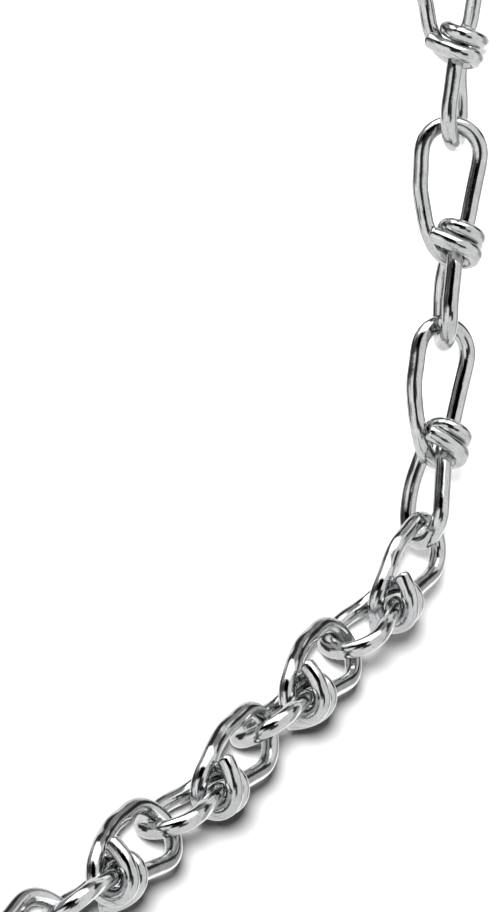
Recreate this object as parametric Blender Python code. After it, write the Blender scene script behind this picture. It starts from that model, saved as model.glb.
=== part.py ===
"""One metre of knotted double loop chain, bright steel, lying in one layer on a level floor.

Each link is one piece of wire. It makes a long loop at its A end and a shorter loop at its B end, in
planes at right angles, and both ends of the wire are wrapped round the waist between the loops. The B
loop of each link hangs in the A loop of the next one.

Frame: the floor is z = 0, and the origin is the middle of the floor that the chain covers. The straight
stretch of the chain runs along +X, from link_01 towards link_24. Metres.
"""
import math

import bpy
import numpy as np
from mathutils import Matrix

# Driving sizes
WIRE_DIAMETER = 0.0034
LOOP_BEND_RADIUS = 1.79 * WIRE_DIAMETER    # centre line of the round end of a loop
A_BEND_CENTRE = 5.45 * WIRE_DIAMETER       # from the middle of the waist to the bend's centre
B_BEND_CENTRE = 4.22 * WIRE_DIAMETER
CONTACT_GAP = 0.0004                       # left between two links where they touch
SLACK_START = 2.5                          # where the drawing out starts, in wire diameters
SLACK_STEP = 0.01

# The knot at the waist, in wire diameters: u towards the B end, v and w across the A and the B loop.
# The wire of the A half, from its cut end over the waist, round it and back to its own loop.
KNOT_WRAP = [
    (-0.46, -1.40, 1.12), (-0.26, -0.98, 1.36), (-0.03, -0.42, 1.54), (0.19, 0.16, 1.59), (0.37, 0.70, 1.48),
    (0.54, 1.14, 1.18), (0.75, 1.35, 0.64), (0.92, 1.22, 0.10), (1.03, 0.80, -0.26), (1.00, 0.24, -0.42),
    (0.78, -0.32, -0.34), (0.36, -0.86, -0.14), (-0.26, -1.24, 0.00), (-1.00, -1.54, 0.00),
]
# The wire that runs through the wraps, from the A loop to the middle of the waist.
KNOT_CORE = [(-1.25, 0.90, 0.10), (-0.62, 0.62, 0.16), (0.00, 0.38, 0.38)]
KNOT_SHIFT = 0.17                          # the knot stands off the middle of both loops by this much
# The leg that runs from the wrap out to the side of the A loop, and its last point's share of the way
# from there to the bend.
OUTER_LEG = [(-2.20, -1.60, 0.00), (-3.30, -1.81, 0.00)]
OUTER_LEG_SHARE = 0.5
SLANTED_LEG_SHARES = [0.35, 0.70]          # points on the straight from the bend to the knot
BEND_POINTS = 10

# Facets of the wire
BEVEL_RESOLUTION = 2
POINTS_A_LINK = 46
STRAIGHT_WEIGHT = math.radians(8.0)        # one diameter of straight wire counts as this much bend

# How each link lies, from link_01 to link_24: its heading over the floor from +X, the lift of its B end
# and its roll about its own length, in degrees. Those of link_07 to link_14 are read from the photograph.
LAYOUT = [
    (101, 0, 31), (95, 0, 28), (84, 0, 32), (65, 0, 40), (44, 0, 52), (25, 0, 63),
    (10.5, -1.5, 75), (-2, 1.5, 54.5), (-7.5, -1, 30), (-58, -1, 6), (-66, 1.5, 23), (-65, -1.5, 10),
    (-68.5, 0, 32), (-58, 0.5, 38), (-44, 0, 43), (-20, 0, 47), (6, 0, 40), (32, 0, 30),
    (55, 0, 20), (73, 0, 22), (85, 0, 28), (93, 0, 32), (98, 0, 29), (101, 0, 33),
]


def between(start, end, share):
    """The point at a share of the way from one point to another."""
    return tuple(first + share * (last - first) for first, last in zip(start, end))


def half_route(bend_centre):
    """Points of one half link in wire diameters, from its cut end to the middle of the waist.

    The half has its loop towards -u, in the u-v plane: the wrap, the outer leg, the bend, and the slanted
    leg, which leaves the bend along its tangent and goes straight on through the knot.
    """
    centre = bend_centre / WIRE_DIAMETER
    radius = LOOP_BEND_RADIUS / WIRE_DIAMETER
    wrap = [(u, v + KNOT_SHIFT, w + KNOT_SHIFT) for u, v, w in KNOT_WRAP]
    core = [(u, v + KNOT_SHIFT, w + KNOT_SHIFT) for u, v, w in KNOT_CORE]
    bend_start = (-centre, -radius, 0.0)
    outer_leg = OUTER_LEG + [between(OUTER_LEG[-1], bend_start, OUTER_LEG_SHARE)]

    to_knot = (core[0][0] + centre, core[0][1])
    tangent = math.atan2(to_knot[1], to_knot[0]) + math.acos(radius / math.hypot(*to_knot))
    bend = [
        (-centre + radius * math.cos(angle), radius * math.sin(angle), 0.0)
        for angle in np.linspace(-math.pi / 2, tangent - 2 * math.pi, BEND_POINTS)
    ]
    slanted_leg = [between(bend[-1], core[0], share) for share in SLANTED_LEG_SHARES]
    return wrap + outer_leg + bend + slanted_leg + core


def link_route():
    """The whole wire, from cut end to cut end. The B half is the A half turned end for end: u, v, w
    become -u, w, v. The two meet in the middle of the waist."""
    a_half = half_route(A_BEND_CENTRE)
    b_half = [(-u, w, v) for u, v, w in half_route(B_BEND_CENTRE)]
    return WIRE_DIAMETER * np.array(a_half + b_half[-2::-1])


def smooth_curve(points, steps=24):
    """Centripetal Catmull-Rom curve through the points, with so many steps between two of them."""
    ends_added = np.vstack([2 * points[0] - points[1], points, 2 * points[-1] - points[-2]])
    spans = np.linalg.norm(np.diff(ends_added, axis=0), axis=1) ** 0.5
    knots = np.concatenate([[0.0], np.cumsum(spans)])
    pieces = []
    for first in range(len(ends_added) - 3):
        p0, p1, p2, p3 = ends_added[first:first + 4]
        t0, t1, t2, t3 = knots[first:first + 4]
        t = np.linspace(t1, t2, steps, endpoint=False)[:, None]
        a1 = (p0 * (t1 - t) + p1 * (t - t0)) / (t1 - t0)
        a2 = (p1 * (t2 - t) + p2 * (t - t1)) / (t2 - t1)
        a3 = (p2 * (t3 - t) + p3 * (t - t2)) / (t3 - t2)
        b1 = (a1 * (t2 - t) + a2 * (t - t0)) / (t2 - t0)
        b2 = (a2 * (t3 - t) + a3 * (t - t1)) / (t3 - t1)
        pieces.append((b1 * (t2 - t) + b2 * (t - t1)) / (t2 - t1))
    return np.vstack(pieces + [points[-1:]])


def even_bends(curve, count):
    """So many points of the curve, close together where it bends and far apart where it runs straight."""
    runs = np.diff(curve, axis=0)
    lengths = np.linalg.norm(runs, axis=1)
    directions = runs / lengths[:, None]
    turns = np.zeros(len(curve))
    cosines = np.clip(np.sum(directions[:-1] * directions[1:], axis=1), -1.0, 1.0)
    turns[1:-1] = np.arccos(cosines)
    half_turns = 0.5 * (turns[:-1] + turns[1:])
    measure = np.concatenate([[0.0], np.cumsum(half_turns + STRAIGHT_WEIGHT * lengths / WIRE_DIAMETER)])
    wanted = np.linspace(0.0, measure[-1], count)
    return np.column_stack([np.interp(wanted, measure, curve[:, axis]) for axis in range(3)])


def link_axes(heading, lift, roll):
    """Columns u, v, w of a link: u runs from its A end to its B end, and v is level at no roll."""
    heading, lift, roll = (math.radians(angle) for angle in (heading, lift, roll))
    u = np.array([math.cos(heading) * math.cos(lift), math.sin(heading) * math.cos(lift), math.sin(lift)])
    level = np.array([-math.sin(heading), math.cos(heading), 0.0])
    upright = np.cross(u, level)
    v = math.cos(roll) * level + math.sin(roll) * upright
    return np.column_stack([u, v, np.cross(u, v)])


def unit(vector):
    return vector / np.linalg.norm(vector)


def least_distance(first, second):
    """Least distance between two centre lines, given as rows of points close together."""
    return np.sqrt(((first[:, None, :] - second[None, :, :]) ** 2).sum(axis=2)).min()


def rest_height(axes, curve):
    """Height of a link's origin at which its wire just touches the floor."""
    return WIRE_DIAMETER / 2 - (curve @ axes.T)[:, 2].min()


def next_place(place, axes, next_axes, curve, rises):
    """Where the next link stands when the chain is drawn out: its A loop pulled against this B loop.

    Each bend is touched where its own plane meets the pull. The next link starts slack by so much that
    the wires are clear, and is drawn away in small steps for as long as they stay clear.
    """
    pull = unit(axes[:, 0] + next_axes[:, 0])
    on_b_bend = LOOP_BEND_RADIUS * unit(pull - (pull @ axes[:, 1]) * axes[:, 1])
    on_a_bend = LOOP_BEND_RADIUS * unit(pull - (pull @ next_axes[:, 2]) * next_axes[:, 2])
    overlapping = place + B_BEND_CENTRE * axes[:, 0] + on_b_bend + on_a_bend + A_BEND_CENTRE * next_axes[:, 0]
    overlapping[2] = rises
    pull[2] = 0.0
    this_wire = curve @ axes.T + place
    next_wire = curve @ next_axes.T
    drawn = None
    for slack in np.arange(SLACK_START, 0.0, -SLACK_STEP) * WIRE_DIAMETER:
        there = overlapping - slack * pull
        if least_distance(this_wire, next_wire + there) > WIRE_DIAMETER + CONTACT_GAP:
            drawn = there
        elif drawn is not None:
            break
    return drawn


def chain_places(curve):
    """Place and axes of every link, worked out link by link, and then centred over the floor's origin."""
    all_axes = [link_axes(*turned) for turned in LAYOUT]
    heights = [rest_height(axes, curve) for axes in all_axes]
    places = [np.array([0.0, 0.0, heights[0]])]
    for index in range(1, len(LAYOUT)):
        places.append(
            next_place(places[-1], all_axes[index - 1], all_axes[index], curve, heights[index])
        )
    wires = np.vstack([curve @ axes.T + place for place, axes in zip(places, all_axes)])
    middle = 0.5 * (wires.min(axis=0) + wires.max(axis=0))
    middle[2] = 0.0
    return [place - middle for place in places], all_axes


def wire_curve(points):
    """A round wire along the points, with flat cut ends."""
    curve = bpy.data.curves.new("link_wire", "CURVE")
    curve.dimensions = "3D"
    curve.bevel_depth = WIRE_DIAMETER / 2
    curve.bevel_resolution = BEVEL_RESOLUTION
    curve.use_fill_caps = True
    spline = curve.splines.new("POLY")
    spline.points.add(len(points) - 1)
    spline.points.foreach_set("co", np.column_stack([points, np.ones(len(points))]).ravel())
    return curve


def steel_material(name):
    """Bright drawn steel."""
    material = bpy.data.materials.new(name)
    material.use_nodes = True
    surface = material.node_tree.nodes["Principled BSDF"]
    surface.inputs["Base Color"].default_value = (0.62, 0.63, 0.64, 1.0)
    surface.inputs["Metallic"].default_value = 1.0
    surface.inputs["Roughness"].default_value = 0.16
    return material


def build():
    for old in list(bpy.data.objects):
        bpy.data.objects.remove(old, do_unlink=True)
    curve = smooth_curve(link_route())
    wire = wire_curve(even_bends(curve, POINTS_A_LINK))
    places, all_axes = chain_places(curve[::4])
    for number, (place, axes) in enumerate(zip(places, all_axes), start=1):
        name = f"link_{number:02d}"
        link = bpy.data.objects.new(name, wire.copy())
        link.data.materials.append(steel_material(f"{name}_steel"))
        link.matrix_world = Matrix.LocRotScale(place, Matrix(axes.tolist()).to_quaternion(), None)
        bpy.context.scene.collection.objects.link(link)


build()
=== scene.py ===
import math

import bpy
import numpy as np
from mathutils import Matrix, Vector


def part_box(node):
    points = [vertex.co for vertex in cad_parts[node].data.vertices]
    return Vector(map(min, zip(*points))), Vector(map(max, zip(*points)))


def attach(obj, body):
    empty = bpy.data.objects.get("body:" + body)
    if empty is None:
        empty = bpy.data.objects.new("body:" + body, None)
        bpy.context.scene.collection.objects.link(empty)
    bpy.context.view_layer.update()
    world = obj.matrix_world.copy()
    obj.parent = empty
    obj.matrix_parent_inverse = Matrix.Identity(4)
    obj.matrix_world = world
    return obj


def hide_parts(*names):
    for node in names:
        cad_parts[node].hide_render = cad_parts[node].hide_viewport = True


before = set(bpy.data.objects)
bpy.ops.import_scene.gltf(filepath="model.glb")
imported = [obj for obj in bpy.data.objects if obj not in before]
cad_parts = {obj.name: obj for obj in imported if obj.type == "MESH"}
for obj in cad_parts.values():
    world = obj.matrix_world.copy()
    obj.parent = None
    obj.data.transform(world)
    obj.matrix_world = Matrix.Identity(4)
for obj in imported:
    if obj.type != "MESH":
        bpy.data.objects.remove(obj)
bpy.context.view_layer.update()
print("loaded the packed chain:", len(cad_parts), "links")


# One link's wire. Lengths without a unit are in wire diameters, as in the part's source. The points are
# u, v, w: u along the link towards its B end, v and w across the A and the B loop.
wire = {
    "diameter": 0.0034,                 # metres
    "aBendCentre": 5.45,                # from the middle of the waist to the centre of a loop's round end
    "bBendCentre": 4.22,
    "bendRadius": 1.79,
    "knotShift": 0.17,                  # the knot stands off the middle of both loops by this much
    # from the cut end over the waist, round it and back to its own loop
    "knotWrap": [
        (-0.46, -1.40, 1.12), (-0.26, -0.98, 1.36), (-0.03, -0.42, 1.54), (0.19, 0.16, 1.59),
        (0.37, 0.70, 1.48), (0.54, 1.14, 1.18), (0.75, 1.35, 0.64), (0.92, 1.22, 0.10),
        (1.03, 0.80, -0.26), (1.00, 0.24, -0.42), (0.78, -0.32, -0.34), (0.36, -0.86, -0.14),
        (-0.26, -1.24, 0.00), (-1.00, -1.54, 0.00),
    ],
    # from the other leg through the wraps to the middle of the waist
    "knotCore": [(-1.25, 0.90, 0.10), (-0.62, 0.62, 0.16), (0.00, 0.38, 0.38)],
    # from the wraps out to the side of the loop
    "outerLeg": [(-2.20, -1.60, 0.00), (-3.30, -1.81, 0.00)],
    "outerLegShare": 0.5,               # one more point, so far on from there to the bend
    "slantedLegShares": [0.35, 0.70],   # points on the straight from the bend to the knot
    "bendPoints": 10,
    "stepsPerSpan": 24,                 # of the smooth path, between two of these points
    "rings": 380,
    "sides": 30,
    "easing": 0.22,                     # how far the bends are eased into the straights
    "cutRounding": 0.10,                # the sheared ends' broken edge
    "grainStep": 0.2,                   # metres from one link's grain to the next one's, so none is shared
}

# heading, lift and roll of link_01 to link_24 in degrees, as in the part's source
chainLay = [
    (101, 0, 31), (95, 0, 28), (84, 0, 32), (65, 0, 40), (44, 0, 52), (25, 0, 63),
    (10.5, -1.5, 75), (-2, 1.5, 54.5), (-7.5, -1, 30), (-58, -1, 6), (-66, 1.5, 23), (-65, -1.5, 10),
    (-68.5, 0, 32), (-58, 0.5, 38), (-44, 0, 43), (-20, 0, 47), (6, 0, 40), (32, 0, 30),
    (55, 0, 20), (73, 0, 22), (85, 0, 28), (93, 0, 32), (98, 0, 29), (101, 0, 33),
]


# Half a link lies in the u-v plane: the wrap, the outer leg, an arc about (-centre, 0), the slanted leg and
# the core of the knot. The slanted leg is the arc's tangent through the core's first point: it leaves the
# arc at the direction of that point plus the angle whose cosine is radius / distance.
def halfRoute(centre):
    radius = wire["bendRadius"]
    shift = (0, wire["knotShift"], wire["knotShift"])
    wrap = np.array(wire["knotWrap"]) + shift
    core = np.array(wire["knotCore"]) + shift
    outerLeg = np.array(wire["outerLeg"])
    bendStart = np.array([-centre, -radius, 0.0])
    lastPoint = outerLeg[-1] + wire["outerLegShare"] * (bendStart - outerLeg[-1])
    toKnot = core[0, :2] + (centre, 0)
    tangent = math.atan2(toKnot[1], toKnot[0]) + math.acos(radius / math.hypot(*toKnot))
    angle = np.linspace(-math.pi / 2, tangent - 2 * math.pi, wire["bendPoints"])
    bend = np.column_stack([-centre + radius * np.cos(angle), radius * np.sin(angle), 0 * angle])
    share = np.array(wire["slantedLegShares"])[:, None]
    slantedLeg = bend[-1] + share * (core[0] - bend[-1])
    return np.vstack([wrap, outerLeg, lastPoint, bend, slantedLeg, core])


# The other half is the same shape turned end for end, with v and w exchanged.
def linkRoute():
    aHalf = halfRoute(wire["aBendCentre"])
    bHalf = halfRoute(wire["bBendCentre"])[:, [0, 2, 1]] * (-1, 1, 1)
    return wire["diameter"] * np.vstack([aHalf, bHalf[-2::-1]])


# Centripetal Catmull-Rom: every span is blended from its four nearest points, and the knots between points
# are as far apart as the square root of their distance.
def smoothPath(points):
    ends = np.vstack([2 * points[0] - points[1], points, 2 * points[-1] - points[-2]])
    knots = np.concatenate([[0.0], np.cumsum(np.linalg.norm(np.diff(ends, axis=0), axis=1) ** 0.5)])
    spans = len(points) - 1
    p = [ends[first:first + spans, None, :] for first in range(4)]
    k = [knots[first:first + spans, None, None] for first in range(4)]
    t = k[1] + (k[2] - k[1]) * np.linspace(0, 1, wire["stepsPerSpan"], endpoint=False)[None, :, None]

    def between(start, end, kStart, kEnd):
        return (start * (kEnd - t) + end * (t - kStart)) / (kEnd - kStart)

    a = [between(p[i], p[i + 1], k[i], k[i + 1]) for i in range(3)]
    b = [between(a[i], a[i + 1], k[i], k[i + 2]) for i in range(2)]
    return np.vstack([between(b[0], b[1], k[1], k[2]).reshape(-1, 3), points[-1:]])


# Points at even distances along a path, and how far along it they are.
def evenPath(path, count):
    travel = np.concatenate([[0.0], np.cumsum(np.linalg.norm(np.diff(path, axis=0), axis=1))])
    at = np.linspace(0.0, travel[-1], count)
    return np.column_stack([np.interp(at, travel, path[:, axis]) for axis in range(3)]), at


# The path averaged with a bell curve of the given width, so that its curvature has no steps; its ends are
# carried on straight while it is averaged.
def easedPath(path, spacing, width):
    reach = int(3 * width / spacing) + 1
    steps = np.arange(-reach, reach + 1)
    bell = np.exp(-0.5 * (steps * spacing / width) ** 2)
    bell /= bell.sum()
    before = path[0] + steps[:reach, None] * (path[1] - path[0])
    after = path[-1] + steps[reach + 1:, None] * (path[-1] - path[-2])
    carried = np.vstack([before, path, after])
    return np.column_stack([np.convolve(carried[:, axis], bell, mode="valid") for axis in range(3)])


# Two directions across the wire at every ring. Each is the last ring's one with what lies along the wire
# taken out of it, so that the wire's grain runs on without twist.
def acrossDirections(path):
    along = np.gradient(path, axis=0)
    along /= np.linalg.norm(along, axis=1)[:, None]
    first = np.cross(along[0], (0.0, 0.0, 1.0))
    across = [first / np.linalg.norm(first)]
    for direction in along[1:]:
        side = across[-1] - (across[-1] @ direction) * direction
        across.append(side / np.linalg.norm(side))
    across = np.array(across)
    return across, np.cross(along, across)


# The wire's surface on a grid of rings and sides: ring place + radius * (cos * across + sin * other). The
# radius falls off on a quarter circle at the two cut ends. The grain is the same grid with the wire drawn
# straight: how far along it, radius * cos, radius * sin.
def wireSurface(path, travel):
    across, other = acrossDirections(path)
    rounding = wire["cutRounding"] * wire["diameter"]
    toEnd = np.clip(np.minimum(travel, travel[-1] - travel) / rounding, 0.0, 1.0)
    radius = wire["diameter"] / 2 - rounding * (1 - np.sqrt(1 - (1 - toEnd) ** 2))
    angle = np.linspace(0.0, 2 * math.pi, wire["sides"], endpoint=False)
    cosine, sine = np.cos(angle), np.sin(angle)
    ringShape = cosine[None, :, None] * across[:, None, :] + sine[None, :, None] * other[:, None, :]
    surface = path[:, None, :] + radius[:, None, None] * ringShape
    grain = np.stack(np.broadcast_arrays(
        travel[:, None], radius[:, None] * cosine, radius[:, None] * sine), axis=-1)
    return surface, grain


# Corner numbers of the wire's faces: a quad between each two sides of each two rings, and a fan of
# triangles from a middle point at both ends.
def wireFaces(rings, sides):
    side = np.arange(sides)
    after = (side + 1) % sides
    ring = sides * np.arange(rings - 1)[:, None]
    quads = np.stack([ring + side, ring + after, ring + sides + after, ring + sides + side], axis=-1)
    lastRing, startMiddle, endMiddle = (rings - 1) * sides, rings * sides, rings * sides + 1
    startFan = np.column_stack([np.full(sides, startMiddle), after, side])
    endFan = np.column_stack([np.full(sides, endMiddle), lastRing + side, lastRing + after])
    return quads.reshape(-1, 4), np.vstack([startFan, endFan])


# Columns u, v, w of a link: u along it, v level before it is rolled about u.
def linkAxes(heading, lift, roll):
    heading, lift, roll = np.radians((heading, lift, roll))
    u = np.array([np.cos(heading) * np.cos(lift), np.sin(heading) * np.cos(lift), np.sin(lift)])
    level = np.array([-np.sin(heading), np.cos(heading), 0.0])
    v = np.cos(roll) * level + np.sin(roll) * np.cross(u, level)
    return np.column_stack([u, v, np.cross(u, v)])


# Where a link's waist stands: the middle of its wire goes to the middle of its CAD node, and its lowest
# wire just touches the floor.
def linkPlace(name, axes, path):
    lowest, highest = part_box(name)
    turned = path @ axes.T
    place = 0.5 * (np.array(lowest) + np.array(highest)) - 0.5 * (turned.min(axis=0) + turned.max(axis=0))
    place[2] = wire["diameter"] / 2 - turned[:, 2].min()
    return place


def addObject(name, data):
    added = bpy.data.objects.new(name, data)
    bpy.context.scene.collection.objects.link(added)
    return added


# Sets an input of a node to a value, or links it where the value is another node's output.
def feed(tree, socket, value):
    if isinstance(value, bpy.types.NodeSocket):
        tree.links.new(value, socket)
    else:
        socket.default_value = value


# The result of a Math or Vector Math node that is fed these values.
def worked(tree, kind, operation, *values, output="Value"):
    made = tree.nodes.new(f"ShaderNode{kind}")
    made.operation = operation
    for socket, value in zip(made.inputs, values):
        feed(tree, socket, value)
    return made.outputs[output]


# A smooth step: toLow where the value is under low, toHigh where it is over high.
def stepped(tree, value, low, high, toLow, toHigh):
    made = tree.nodes.new("ShaderNodeMapRange")
    made.interpolation_type = "SMOOTHSTEP"
    for name, given in (("Value", value), ("From Min", low), ("From Max", high),
                        ("To Min", toLow), ("To Max", toHigh)):
        feed(tree, made.inputs[name], given)
    return made.outputs["Result"]


# What the shared finish is mixed from. A noise has a scale, or the name of the input that gives it, a
# detail and a roughness. A step has the two values that it lies between and the two that it gives.
drawnSteel = {
    "drawnOut": (0.03, 1.0, 1.0),             # lines and streaks are drawn out along the wire
    "lines": ("Line density", 3.0, 0.6),
    "streaks": (2600.0, 2.0, 0.5),
    "clouds": ("Cloud size", 4.0, 0.6),
    "speckle": (2600.0, 2.0, 0.5),
    "dentSmoothness": 0.6,
    "dentHollow": (0.05, 0.45, -1.0, 0.0),    # over the distance from a dent's middle
    "dentPlaces": (0.50, 0.62, 0.0, 1.0),     # only where the clouds are dense
    "toneSteps": {
        "clouds": (0.3, 0.7, 0.82, 1.0),
        "lines": (0.35, 0.6, 0.86, 1.0),
        "speckle": (0.30, 0.42, 0.80, 1.0),
    },
    "dullShares": {"clouds": 0.7, "lines": 0.3},
    "dullBetween": (0.35, 0.65),
    "heightShares": {"lines": 0.12, "clouds": 0.4, "streaks": 0.45, "dents": 0.12, "speckle": 0.12},
}


# The finish that both steels share. Its tone is the product of smooth steps of the clouds, the lines and
# the speckle. Its roughness is a smooth step, from smooth to dull, of a weighted sum of clouds and lines.
# Its height is a weighted sum of all five patterns.
def drawnSteelGroup():
    group = bpy.data.node_groups.new("drawnSteel", "ShaderNodeTree")
    numbers = ("Line density", "Dent size", "Cloud size", "Smooth", "Dull")
    for names, way, kind in ((("Grain", "Place"), "INPUT", "NodeSocketVector"),
                             (numbers, "INPUT", "NodeSocketFloat"),
                             (("Tone", "Roughness", "Height"), "OUTPUT", "NodeSocketFloat")):
        for name in names:
            group.interface.new_socket(name=name, in_out=way, socket_type=kind)
    given = group.nodes.new("NodeGroupInput").outputs
    result = group.nodes.new("NodeGroupOutput").inputs

    def noise(vector, scale, detail, roughness):
        made = group.nodes.new("ShaderNodeTexNoise")
        scale = given[scale] if isinstance(scale, str) else scale
        for name, value in (("Vector", vector), ("Scale", scale), ("Detail", detail),
                            ("Roughness", roughness)):
            feed(group, made.inputs[name], value)
        return made.outputs["Fac"]

    alongWire = worked(group, "VectorMath", "MULTIPLY", given["Grain"], drawnSteel["drawnOut"],
                       output="Vector")
    patterns = {name: noise(alongWire, *drawnSteel[name]) for name in ("lines", "streaks")}
    patterns |= {name: noise(given["Place"], *drawnSteel[name]) for name in ("clouds", "speckle")}
    dents = group.nodes.new("ShaderNodeTexVoronoi")
    dents.feature = "SMOOTH_F1"
    for name, value in (("Vector", given["Place"]), ("Scale", given["Dent size"]),
                        ("Smoothness", drawnSteel["dentSmoothness"])):
        feed(group, dents.inputs[name], value)
    hollow = stepped(group, dents.outputs["Distance"], *drawnSteel["dentHollow"])
    places = stepped(group, patterns["clouds"], *drawnSteel["dentPlaces"])
    patterns["dents"] = worked(group, "Math", "MULTIPLY", hollow, places)

    # the values added up or multiplied, one after the other
    def joined(operation, values):
        total = values[0]
        for value in values[1:]:
            total = worked(group, "Math", operation, total, value)
        return total

    def weighedSum(shares):
        return joined("ADD", [worked(group, "Math", "MULTIPLY", patterns[name], share)
                              for name, share in shares.items()])

    tone = joined("MULTIPLY", [stepped(group, patterns[name], *step)
                               for name, step in drawnSteel["toneSteps"].items()])
    roughness = stepped(group, weighedSum(drawnSteel["dullShares"]), *drawnSteel["dullBetween"],
                        given["Smooth"], given["Dull"])
    feed(group, result["Tone"], tone)
    feed(group, result["Roughness"], roughness)
    feed(group, result["Height"], weighedSum(drawnSteel["heightShares"]))
    return group


finishes = {
    "brightSteel": {
        "colour": (0.60, 0.605, 0.61, 1.0), "lineDensity": 9000.0, "dentSize": 700.0, "cloudSize": 260.0,
        "smooth": 0.03, "dull": 0.09, "bump": 0.25, "bumpDistance": 0.0003,
    },
    "shearedEnd": {
        "colour": (0.42, 0.425, 0.43, 1.0), "lineDensity": 4000.0, "dentSize": 1500.0, "cloudSize": 900.0,
        "smooth": 0.22, "dull": 0.45, "bump": 0.5, "bumpDistance": 0.0003,
    },
}


# Bare metal in one of the finishes: the group's tone times the colour, its roughness, its height as bumps.
def steelMaterial(name, finish, group):
    material = bpy.data.materials.new(name)
    material.use_nodes = True
    tree = material.node_tree
    shader = tree.nodes["Principled BSDF"]
    grain = tree.nodes.new("ShaderNodeAttribute")
    grain.attribute_name = "wireGrain"
    place = tree.nodes.new("ShaderNodeTexCoord")
    shared = tree.nodes.new("ShaderNodeGroup")
    shared.node_tree = group
    toned = tree.nodes.new("ShaderNodeMix")
    toned.data_type = "RGBA"
    toned.blend_type = "MULTIPLY"
    bump = tree.nodes.new("ShaderNodeBump")
    for node, socket, value in (
        (shared, "Grain", grain.outputs["Vector"]), (shared, "Place", place.outputs["Object"]),
        (shared, "Line density", finish["lineDensity"]), (shared, "Dent size", finish["dentSize"]),
        (shared, "Cloud size", finish["cloudSize"]), (shared, "Smooth", finish["smooth"]),
        (shared, "Dull", finish["dull"]),
        (toned, "Factor", 1.0), (toned, "A", finish["colour"]), (toned, "B", shared.outputs["Tone"]),
        (bump, "Strength", finish["bump"]), (bump, "Distance", finish["bumpDistance"]),
        (bump, "Height", shared.outputs["Height"]),
        (shader, "Metallic", 1.0), (shader, "Base Color", toned.outputs["Result"]),
        (shader, "Roughness", shared.outputs["Roughness"]), (shader, "Normal", bump.outputs["Normal"]),
    ):
        feed(tree, node.inputs[socket], value)
    return material


# Every link is the same wire: its surface, turned and moved to where its CAD node lies.
def buildLinks():
    group = drawnSteelGroup()
    materials = [steelMaterial(name, finish, group) for name, finish in finishes.items()]
    path, travel = evenPath(smoothPath(linkRoute()), wire["rings"])
    path = easedPath(path, travel[1], wire["easing"] * wire["diameter"])
    surface, grain = wireSurface(path, travel)
    surface = np.vstack([surface.reshape(-1, 3), path[[0, -1]]])     # with the middles of the cut ends
    grain = np.vstack([grain.reshape(-1, 3), [(travel[0], 0, 0), (travel[-1], 0, 0)]])
    quads, fans = wireFaces(wire["rings"], wire["sides"])
    faces = quads.tolist() + fans.tolist()
    finishOf = np.zeros(len(faces), np.int32)
    finishOf[len(quads):] = 1                                        # the cut ends are sheared
    places = []
    for number, turned in enumerate(chainLay, start=1):
        name = f"link_{number:02d}"
        axes = linkAxes(*turned)
        place = linkPlace(name, axes, path)
        mesh = bpy.data.meshes.new(f"{name}_wire")
        mesh.from_pydata((surface @ axes.T + place).tolist(), [], faces)
        ownGrain = (grain + (number * wire["grainStep"], 0, 0)).astype(np.float32)
        attribute = mesh.attributes.new("wireGrain", "FLOAT_VECTOR", "POINT")
        attribute.data.foreach_set("vector", ownGrain.ravel())
        for material in materials:
            mesh.materials.append(material)
        mesh.polygons.foreach_set("material_index", finishOf)
        mesh.shade_smooth()
        link = addObject(f"{name}_wire", mesh)
        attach(link, "root")
        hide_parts(name)
        places.append(place)
    print("built", len(places), "links of", len(quads) * 2 + len(fans), "triangles each")
    return places


studio = {
    "floor": {"half": 12.0, "colour": (0.86, 0.86, 0.86, 1.0), "roughness": 0.9, "specular": 0.1},
    "walls": 1.10,       # brightness of the room that the steel mirrors
    "ambient": 0.015,    # its light on the floor
    "backdrop": 0.95,    # behind the floor's far edge
    # Cards about the chain: their azimuth, from -Y towards +X, their elevation, half their width and
    # height and their soft edge, all in degrees, and their brightness.
    "cards": [
        ("greySide", -116, 6, 12, 14, 8, 0.36),
        ("darkSide", -110, -30, 12, 20, 6, 0.05),
        ("lowFront", 4, -12, 16, 14, 8, 1.30),
        ("underside", -52, -42, 46, 11, 8, 0.42),
        ("floorShade", -50, -71, 82, 10, 6, 0.05),
        ("whiteWindow", -74, 5, 19, 31, 5, 3.6),
        ("doorStep", -30, -42, 12, 22, 4, 0.08),
        ("darkDoorway", -33, 12, 15, 28, 3, 0.0),
        ("darkFront", -5, 28, 13, 15, 5, 0.03),
        ("darkTop", 12, 54, 22, 11, 5, 0.06),
        ("darkCorner", -145, 29, 15, 13, 6, 0.04),
        ("farWall", 180, 34, 22, 12, 8, 0.58),
        ("farWindow", 164, 3, 12, 10, 6, 1.7),
    ],
    # Lamps: their place, the point that they are turned to, size and watts. The two disks stand far off, so
    # that the floor is evenly lit. The spot, with a cone in degrees and a soft edge, only lightens shadows.
    "lamps": {
        "keyLight": {"place": (-0.99, -5.55, 2.64), "target": (0.0, 0.0, 0.0), "size": 1.02,
                     "watts": 1368.0},
        "softLight": {"place": (-2.25, -5.25, 2.55), "target": (0.0, 0.0, 0.0), "size": 2.7,
                      "watts": 45.0},
        "topLight": {"place": (-0.16, 0.10, 0.90), "target": (-0.16, 0.10, 0.0), "size": 0.06,
                     "watts": 50.0, "cone": 19.0, "softEdge": 0.6},
    },
}


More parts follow.
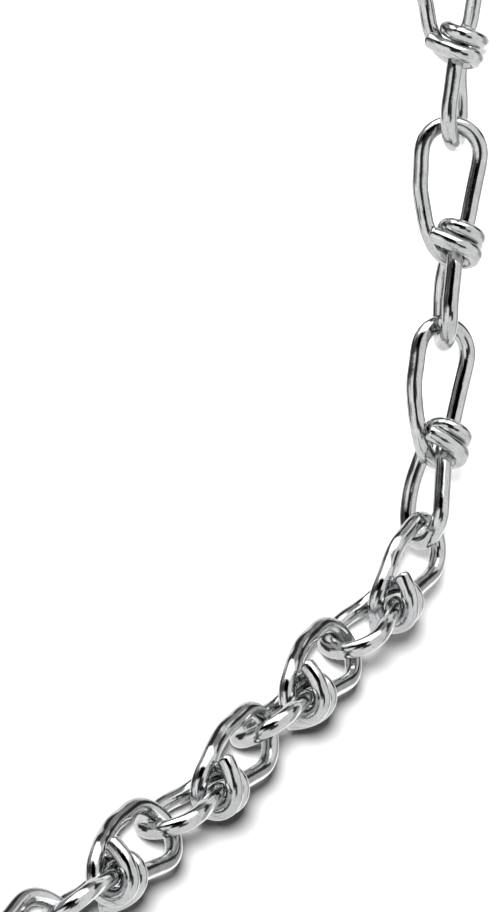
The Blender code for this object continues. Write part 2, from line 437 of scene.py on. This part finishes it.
# A card's mask on the room's directions: one where both the azimuth from the card's middle and the
# elevation from it are under its half width and height, and falling smoothly to nought over its edge.
def cardMask(tree, direction, elevation, azimuth, height, halfWidth, halfHeight, edge):
    def fadeOut(angle, half):
        away = worked(tree, "Math", "ABSOLUTE", angle)
        return stepped(tree, away, math.radians(half), math.radians(half + edge), 1.0, 0.0)

    turn = math.radians(azimuth)
    towards, beside = (math.sin(turn), -math.cos(turn), 0.0), (math.cos(turn), math.sin(turn), 0.0)
    ahead = worked(tree, "VectorMath", "DOT_PRODUCT", direction, towards)
    aside = worked(tree, "VectorMath", "DOT_PRODUCT", direction, beside)
    sideways = fadeOut(worked(tree, "Math", "ARCTAN2", aside, ahead), halfWidth)
    upwards = fadeOut(worked(tree, "Math", "SUBTRACT", elevation, math.radians(height)), halfHeight)
    return worked(tree, "Math", "MULTIPLY", sideways, upwards)


# The steel mirrors the cards, one laid over the other; the floor gets a plain light from all round.
def buildWorld():
    world = bpy.data.worlds.new("studioWorld")
    bpy.context.scene.world = world
    world.use_nodes = True
    tree = world.node_tree
    tree.nodes.clear()

    def mixed(label, factor, first, second):
        made = tree.nodes.new("ShaderNodeMix")
        made.label = label
        made.data_type = "RGBA"
        feed(tree, made.inputs["Factor"], factor)
        for name, value in (("A", first), ("B", second)):
            grey = (value, value, value, 1.0) if isinstance(value, float) else value
            feed(tree, made.inputs[name], grey)
        return made.outputs["Result"]

    direction = tree.nodes.new("ShaderNodeTexCoord").outputs["Generated"]
    parts = tree.nodes.new("ShaderNodeSeparateXYZ")
    feed(tree, parts.inputs["Vector"], direction)
    elevation = worked(tree, "Math", "ARCSINE", parts.outputs["Z"])
    room = studio["walls"]
    for name, *shape, bright in studio["cards"]:
        room = mixed(name, cardMask(tree, direction, elevation, *shape), room, bright)
    ray = tree.nodes.new("ShaderNodeLightPath").outputs
    seen = mixed("onFloor", ray["Is Glossy Ray"], studio["ambient"], room)
    seen = mixed("behindFloor", ray["Is Camera Ray"], seen, studio["backdrop"])
    background = tree.nodes.new("ShaderNodeBackground")
    output = tree.nodes.new("ShaderNodeOutputWorld")
    feed(tree, background.inputs["Color"], seen)
    feed(tree, output.inputs["Surface"], background.outputs["Background"])


def buildFloor():
    floor = studio["floor"]
    half = floor["half"]
    mesh = bpy.data.meshes.new("floor")
    corners = [(-half, -half, 0), (half, -half, 0), (half, half, 0), (-half, half, 0)]
    mesh.from_pydata(corners, [], [(0, 1, 2, 3)])
    material = bpy.data.materials.new("paleFloor")
    material.use_nodes = True
    tree = material.node_tree
    for socket, key in (("Base Color", "colour"), ("Roughness", "roughness"),
                        ("Specular IOR Level", "specular")):
        feed(tree, tree.nodes["Principled BSDF"].inputs[socket], floor[key])
    mesh.materials.append(material)
    floor = addObject("floor", mesh)
    floor.visible_glossy = False      # the steel mirrors the room, and not the white floor


def buildLamps():
    for name, lamp in studio["lamps"].items():
        isSpot = "cone" in lamp
        light = bpy.data.lights.new(name, "SPOT" if isSpot else "AREA")
        light.energy = lamp["watts"]
        if isSpot:
            light.shadow_soft_size = lamp["size"] / 2
            light.spot_size = math.radians(lamp["cone"])
            light.spot_blend = lamp["softEdge"]
            light.use_shadow = False
        else:
            light.shape = "DISK"
            light.size = lamp["size"]
        turned = Vector(lamp["target"]) - Vector(lamp["place"])
        stand = addObject(name, light)
        stand.location = lamp["place"]
        stand.rotation_euler = turned.to_track_quat("-Z", "Y").to_euler()
        stand.visible_glossy = False


def buildStudio():
    buildFloor()
    buildLamps()
    buildWorld()
    bpy.context.scene.view_settings.view_transform = "Standard"
    print("lit the studio")


# The photograph looks over the floor at a low angle and is turned on its side, so that +X runs down it.
view = {
    "nearLink": 8,                         # the middle of the picture is measured from this link's waist,
    "fromWaist": (0.04516, -0.08534),      # so far along +X and +Y,
    "height": 0.008,                       # and this high
    "elevation": 27.71, "roll": 2.49,      # degrees
    "distance": 1.2985,
    "pictureHeight": 912, "perPixel": 0.0001931,
    "sensorHeight": 36.0, "farClip": 50.0,
}


def placeCamera(waist):
    elevation, roll = np.radians((view["elevation"], view["roll"]))
    up = np.array([-1.0, 0.0, 0.0])
    right = np.array([0.0, math.sin(elevation), math.cos(elevation)])
    back = np.array([0.0, -math.cos(elevation), math.sin(elevation)])
    right = math.cos(roll) * right + math.sin(roll) * up
    up = np.cross(back, right)
    middle = np.append(waist[:2] + view["fromWaist"], view["height"])
    turned = Matrix(np.column_stack([right, up, back]).tolist()).to_quaternion()
    camera = addObject("camera", bpy.data.cameras.new("camera"))
    camera.matrix_world = Matrix.LocRotScale(Vector(middle + back * view["distance"]), turned, None)
    camera.data.sensor_fit = "VERTICAL"
    camera.data.sensor_height = view["sensorHeight"]
    seenHeight = view["pictureHeight"] * view["perPixel"]
    camera.data.lens = view["sensorHeight"] * view["distance"] / seenHeight
    camera.data.clip_end = view["farClip"]
    bpy.context.scene.camera = camera
    print("placed the camera")


linkPlaces = buildLinks()
buildStudio()
placeCamera(linkPlaces[view["nearLink"] - 1])
